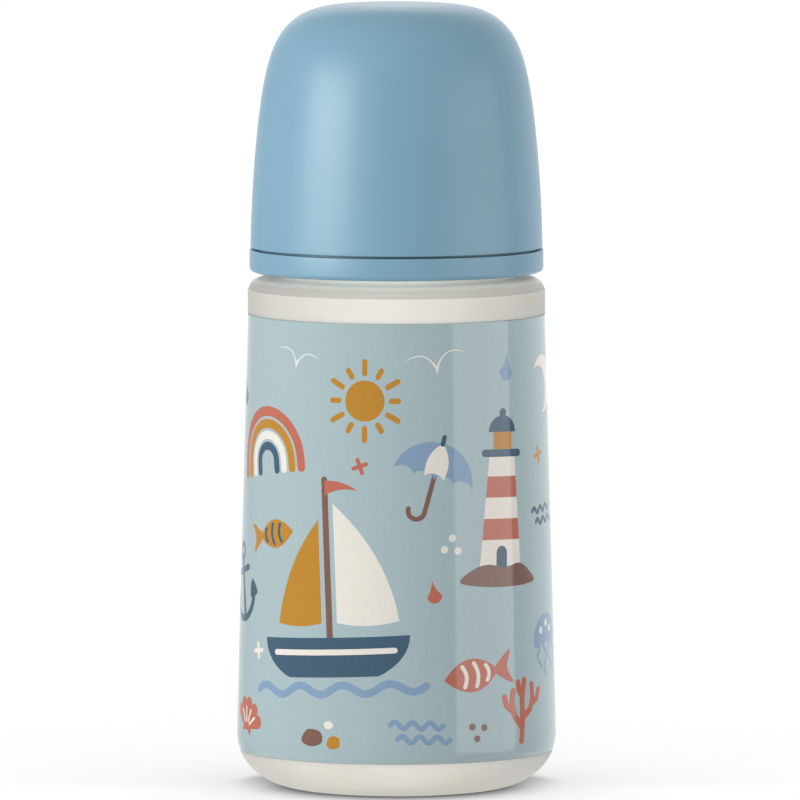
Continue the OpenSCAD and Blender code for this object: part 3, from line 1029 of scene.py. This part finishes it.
plain = node(tree, "BsdfDiffuse", {"Color": (0.82, 0.82, 0.82, 1)})
clear = node(tree, "BsdfTransparent")
upper = node(tree, "MixShader", {0: seen, 1: plain.outputs["BSDF"], 2: bright.outputs["Emission"]})
under = node(tree, "NewGeometry").outputs["Backfacing"]
sheet_mix = node(tree, "MixShader", {0: under, 1: upper.outputs["Shader"], 2: clear.outputs["BSDF"]})
tree.links.new(sheet_mix.outputs["Shader"], surface)
floor.data.materials.append(paper)

# Painted walls: grey all round and paler overhead, bright behind with a spot above the bottle, and a lit
# ground below. The camera itself sees plain white.
world = bpy.data.worlds.new("studio_walls")
scene.world = world
world.use_nodes = True
tree = world.node_tree
tree.nodes.clear()
place = node(tree, "TexCoord").outputs["Generated"]
way = node(tree, "SeparateXYZ", {"Vector": place})
ceiling = node(tree, "MapRange", {"Value": way.outputs["Z"], "To Min": 0.39, "To Max": 0.61})
back = node(tree, "VectorMath", {0: place, 1: (0.3, 0.954, 0)}, operation="DOT_PRODUCT")
behind = node(tree, "MapRange", {
    "Value": back.outputs["Value"], "From Min": 0.5, "From Max": 0.97,
    "To Min": ceiling.outputs["Result"], "To Max": 1.05},
    interpolation_type="SMOOTHSTEP")
high = node(tree, "VectorMath", {0: place, 1: (0, 0.978, 0.208)}, operation="DOT_PRODUCT")
spot = node(tree, "MapRange", {
    "Value": high.outputs["Value"], "From Min": 0.9, "From Max": 0.985, "To Max": 0.6},
    interpolation_type="SMOOTHSTEP")
ground = node(tree, "MapRange", {
    "Value": way.outputs["Z"], "From Min": -0.36, "From Max": -0.31, "To Min": 0.5, "To Max": 0},
    interpolation_type="SMOOTHSTEP")
wall = node(tree, "Math", {0: behind.outputs["Result"], 1: spot.outputs["Result"]}, operation="ADD")
lit = node(tree, "Math", {0: wall.outputs["Value"], 1: ground.outputs["Result"]}, operation="ADD")
walls = node(tree, "Background", {"Color": lit.outputs["Value"]})
white = node(tree, "Background", {"Color": (1, 1, 1, 1), "Strength": 1.02})
seen = node(tree, "LightPath").outputs["Is Camera Ray"]
backdrop = node(tree, "MixShader", {0: seen, 1: walls.outputs["Background"], 2: white.outputs["Background"]})
tree.links.new(backdrop.outputs["Shader"], node(tree, "OutputWorld").inputs["Surface"])


def softbox(name, azimuth, distance, low, high, width, radiance):
    """An area light on a stand, at an azimuth from the camera's side, from one height to another."""
    lamp = bpy.data.lights.new(name, "AREA")
    lamp.shape = "RECTANGLE"
    lamp.size, lamp.size_y = width, high - low
    lamp.energy = radiance * pi * lamp.size * lamp.size_y
    made = bpy.data.objects.new(name, lamp)
    a = radians(azimuth)
    made.location = (distance * sin(a), -distance * cos(a), (low + high) / 2)
    made.rotation_euler = (pi / 2, 0, a)
    made.visible_camera = False
    scene.collection.objects.link(made)
    return made


def flagged(name, pieces, state):
    """A group of pieces that a light is kept to, or flagged off from."""
    group = bpy.data.collections.new(name)
    for piece in pieces:
        group.objects.link(piece)
    for member in group.collection_objects:
        member.light_linking.link_state = state
    return group


milky = [bottle, gate, neck_thread, teat, vent]
left_stand = {"azimuth": -58, "distance": 1.1, "low": 0.075, "high": 0.58, "width": 0.8, "radiance": 7.5}
left = softbox("softbox_left", **left_stand)
left_on_film = softbox("softbox_left_film", **left_stand)
right = softbox("softbox_right", azimuth=68.7, distance=1.0, low=-0.35, high=0.5, width=0.955, radiance=1.78)
right_on_film = softbox(
    "fill_right_film", azimuth=102, distance=1.0, low=-0.35, high=0.5, width=0.6, radiance=1.3)
front = softbox("reflector_front", azimuth=-11, distance=1.0, low=-0.3, high=0.6, width=1.5, radiance=1.95)
top = softbox("reflector_top", azimuth=0, distance=0, low=-0.45, high=0.45, width=0.9, radiance=0.8)
top.location.z = 1
top.rotation_euler = (0, 0, 0)
below = softbox("reflector_below", azimuth=-60, distance=0.3, low=-0.3, high=0.3, width=0.8, radiance=0.35)
below.location.z = -0.3
below.rotation_euler = (pi, 0, 0)
left.light_linking.receiver_collection = flagged("flag_left", milky + [film, floor], "EXCLUDE")
right.light_linking.receiver_collection = flagged("flag_right", milky + [floor], "EXCLUDE")
on_film = flagged("film_only", [film], "INCLUDE")
for lamp in (left_on_film, right_on_film):
    lamp.light_linking.receiver_collection = on_film
    lamp.visible_glossy = False
kept_on = flagged("reflectors_on", milky, "INCLUDE")
let_past = flagged("reflectors_past", [ring, ring_thread, cap, teat, vent, floor], "EXCLUDE")
for lamp in (front, top, below):
    lamp.light_linking.receiver_collection = kept_on
    lamp.light_linking.blocker_collection = let_past

camera_far = 2.7
camera_up = 0.309
camera_tilt = 4.773
camera_aside = 0.756 * MM
lens = bpy.data.cameras.new("studio_camera")
lens.sensor_width = 36
lens.lens = 564.45
camera = bpy.data.objects.new("studio_camera", lens)
camera.location = (camera_aside, -camera_far, camera_up)
camera.rotation_euler = (radians(90 - camera_tilt), 0, 0)
scene.collection.objects.link(camera)
scene.camera = camera
